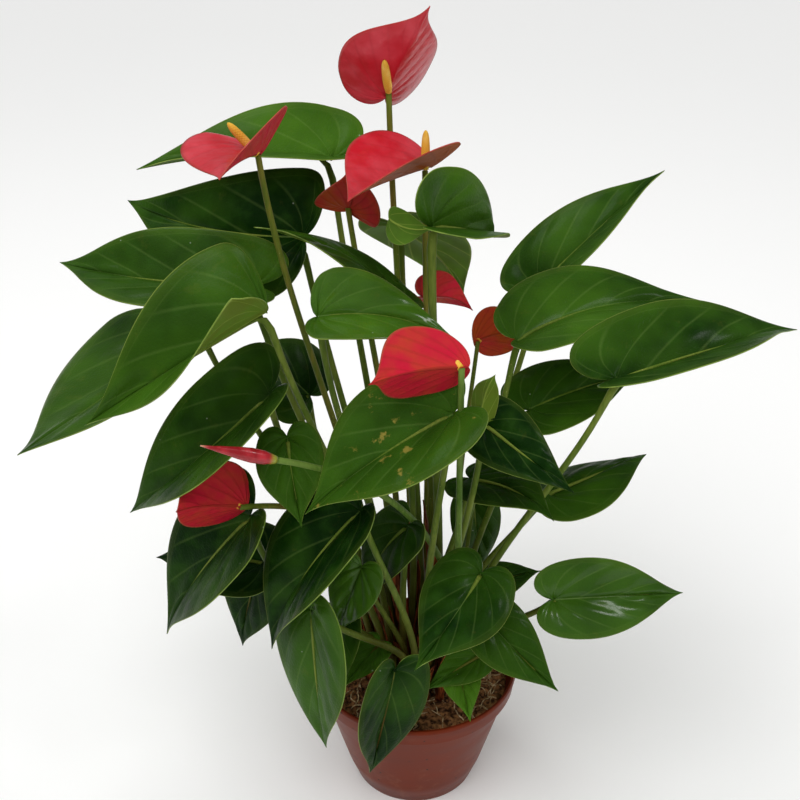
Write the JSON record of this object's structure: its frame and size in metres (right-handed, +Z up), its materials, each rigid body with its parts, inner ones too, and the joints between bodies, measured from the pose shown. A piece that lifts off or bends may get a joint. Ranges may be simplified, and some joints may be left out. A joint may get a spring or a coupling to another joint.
{
  "type": "potted anthurium",
  "caption": "Bushy flowering plant with glossy heart-shaped leaves and red hooded blooms on long stems, standing in soil in a low tapered plastic pot.",
  "frame": {"origin": "middle of the pot's underside, on the surface the pot stands on", "axes": "+Z up; +X to the viewer's right and +Y away from the viewer of the picture's side"},
  "size_m": [0.397, 0.2353, 0.4512],
  "materials": {
    "leaf": "glossy dark green blade with a matt green stem",
    "stalk": "matt olive green",
    "spathe": "glossy red",
    "spadix": "matt yellow, finely grained",
    "pot_plastic": "satin red-brown plastic",
    "soil": "damp dark peat"
  },
  "bodies": {
    "root": {"pot": "pot_plastic", "potting_soil": "soil", "leaf_top_left": "leaf", "leaf_upper_left": "leaf", "leaf_left_pale": "leaf", "leaf_left_folded": "leaf", "leaf_far_left": "leaf", "leaf_left_long": "leaf", "leaf_left_behind": "leaf", "leaf_left_inner": "leaf", "leaf_left_low": "leaf", "side_shoot_left": "leaf", "leaf_front_left": "leaf", "leaf_front": "leaf", "leaf_front_right": "leaf", "leaf_right_inner": "leaf", "leaf_right_back": "leaf", "leaf_top_right": "leaf", "leaf_upper_right": "leaf", "leaf_far_right": "leaf", "leaf_right": "leaf", "leaf_low_right": "leaf", "leaf_front_low_right": "leaf", "leaf_front_low": "leaf", "leaf_right_small": "leaf", "leaf_front_centre": "leaf", "leaf_hanging_left": "leaf", "side_shoot_front": "leaf", "leaf_hanging_front": "leaf", "side_shoot_right": "leaf", "leaf_middle": "leaf", "leaf_middle_back": "leaf", "leaf_back_dark": "leaf", "leaf_top_small": "leaf", "bloom_top_stalk": "stalk", "bloom_top_spathe": "spathe", "bloom_top_spadix": "spadix", "bloom_left_stalk": "stalk", "bloom_left_spathe": "spathe", "bloom_left_spadix": "spadix", "bloom_top_folded_stalk": "stalk", "bloom_top_folded_spathe": "spathe", "bloom_top_folded_spadix": "spadix", "bloom_back_stalk": "stalk", "bloom_back_spathe": "spathe", "bloom_back_spadix": "spadix", "bloom_front_stalk": "stalk", "bloom_front_spathe": "spathe", "bloom_front_spadix": "spadix", "bloom_middle_stalk": "stalk", "bloom_middle_spathe": "spathe", "bloom_middle_spadix": "spadix", "bloom_right_stalk": "stalk", "bloom_right_spathe": "spathe", "bloom_right_spadix": "spadix", "bloom_low_left_stalk": "stalk", "bloom_low_left_spathe": "spathe", "bloom_low_left_spadix": "spadix", "bud_stalk": "stalk", "bud_spathe": "spathe"}
  },
  "joints": []
}
